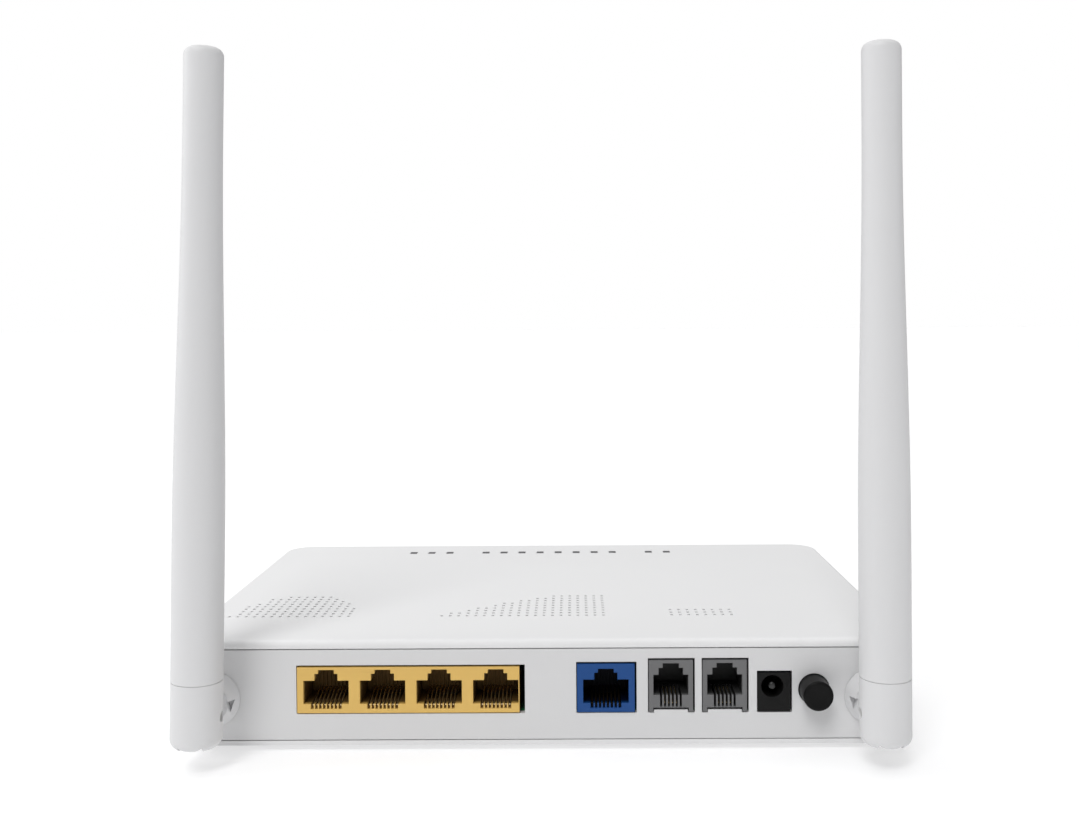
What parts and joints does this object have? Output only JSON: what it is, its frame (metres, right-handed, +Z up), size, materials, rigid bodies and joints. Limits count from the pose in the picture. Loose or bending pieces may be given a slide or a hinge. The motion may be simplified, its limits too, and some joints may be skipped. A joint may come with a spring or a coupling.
{
  "type": "optical network terminal",
  "caption": "Flat white desk unit with network, telephone and power sockets along one side, folding antennas that swivel at the ends, and a push power button.",
  "frame": {"origin": "centre of the overall box, on the table plane under the feet", "axes": "+X to the right as seen from the port side, +Y from the ports to the indicator edge, +Z up"},
  "size_m": [0.192, 0.1494, 0.18],
  "materials": {
    "case_white": "fine spark texture, off-white",
    "panel_grey": "satin, light grey-white",
    "antenna_white": "satin, white",
    "smoked_guide": "smoked translucent",
    "foot_rubber": "matte",
    "zinc_steel": "bright zinc",
    "board_green": "solder mask",
    "jack_yellow": "satin, warm yellow",
    "jack_blue": "satin, strong blue",
    "jack_grey": "satin, mid grey",
    "contact_gold": "gold flash",
    "black_plastic": "satin, black",
    "button_black": "semi-gloss, black",
    "chip_black": "moulded resin",
    "led_body": "clear resin",
    "heatsink_aluminium": "plain anodised",
    "tin_can": "tin plate",
    "capacitor_sleeve": "printed sleeve, plain",
    "adapter_green": "satin, green",
    "ceramic_white": "polished ceramic",
    "lead_grey": "satin jacket",
    "copper": "plain copper alloy"
  },
  "bodies": {
    "case": {"bottom_shell": "case_white", "rear_panel": "panel_grey", "top_cover": "case_white", "light_pipes": "smoked_guide", "rubber_feet": "foot_rubber", "case_screws": "zinc_steel", "main_board": "board_green", "board_screws": "zinc_steel", "lan_jack_housing": "jack_yellow", "lan_jack_contacts": "contact_gold", "wan_jack_housing": "jack_blue", "wan_jack_contacts": "contact_gold", "contact_carriers": "black_plastic", "phone_jack_1": "jack_grey", "phone_jack_2": "jack_grey", "phone_jack_contacts": "contact_gold", "dc_jack_body": "black_plastic", "dc_jack_pin": "zinc_steel", "power_switch": "chip_black", "status_leds": "led_body", "soc_chip": "chip_black", "heatsink": "heatsink_aluminium", "memory_chip": "chip_black", "flash_chip": "chip_black", "wifi_chip": "chip_black", "wifi_shield": "tin_can", "lan_transformers": "chip_black", "wan_transformer": "chip_black", "line_chips": "chip_black", "capacitors": "capacitor_sleeve", "inductors": "chip_black", "crystals": "tin_can", "fibre_adapter": "adapter_green", "ferrule_sleeve": "ceramic_white", "optical_module": "tin_can", "rf_connectors": "contact_gold", "left_coax_lead": "lead_grey", "right_coax_lead": "lead_grey"},
    "power_button": {"power_button": "button_black"},
    "left_neck": {"left_neck": "antenna_white"},
    "left_antenna": {"left_knuckle": "antenna_white", "left_hinge_pin": "zinc_steel", "left_antenna_tube": "antenna_white", "left_radiator": "copper", "left_antenna_coax": "lead_grey"},
    "right_neck": {"right_neck": "antenna_white"},
    "right_antenna": {"right_knuckle": "antenna_white", "right_hinge_pin": "zinc_steel", "right_antenna_tube": "antenna_white", "right_radiator": "copper", "right_antenna_coax": "lead_grey"}
  },
  "joints": [
    {"name": "left_swivel", "type": "hinge", "parent": "case", "child": "left_neck", "pos_m": [-0.086, -0.0683, 0.0138], "axis": [0, -1, 0], "range_deg": [-25, 90]},
    {"name": "left_fold", "type": "hinge", "parent": "left_neck", "child": "left_antenna", "pos_m": [-0.086, -0.0683, 0.0138], "axis": [0.9997, 0, -0.0244], "range_deg": [0, 90]},
    {"name": "right_swivel", "type": "hinge", "parent": "case", "child": "right_neck", "pos_m": [0.086, -0.0683, 0.0138], "axis": [0, 1, 0], "range_deg": [-25, 90]},
    {"name": "right_fold", "type": "hinge", "parent": "right_neck", "child": "right_antenna", "pos_m": [0.086, -0.0683, 0.0138], "axis": [1, 0, 0.0061], "range_deg": [0, 90]},
    {"name": "button_press", "type": "slide", "parent": "case", "child": "power_button", "axis": [0, 1, 0], "range_m": [0, 0.0025], "stiffness_N_per_m": 800}
  ]
}
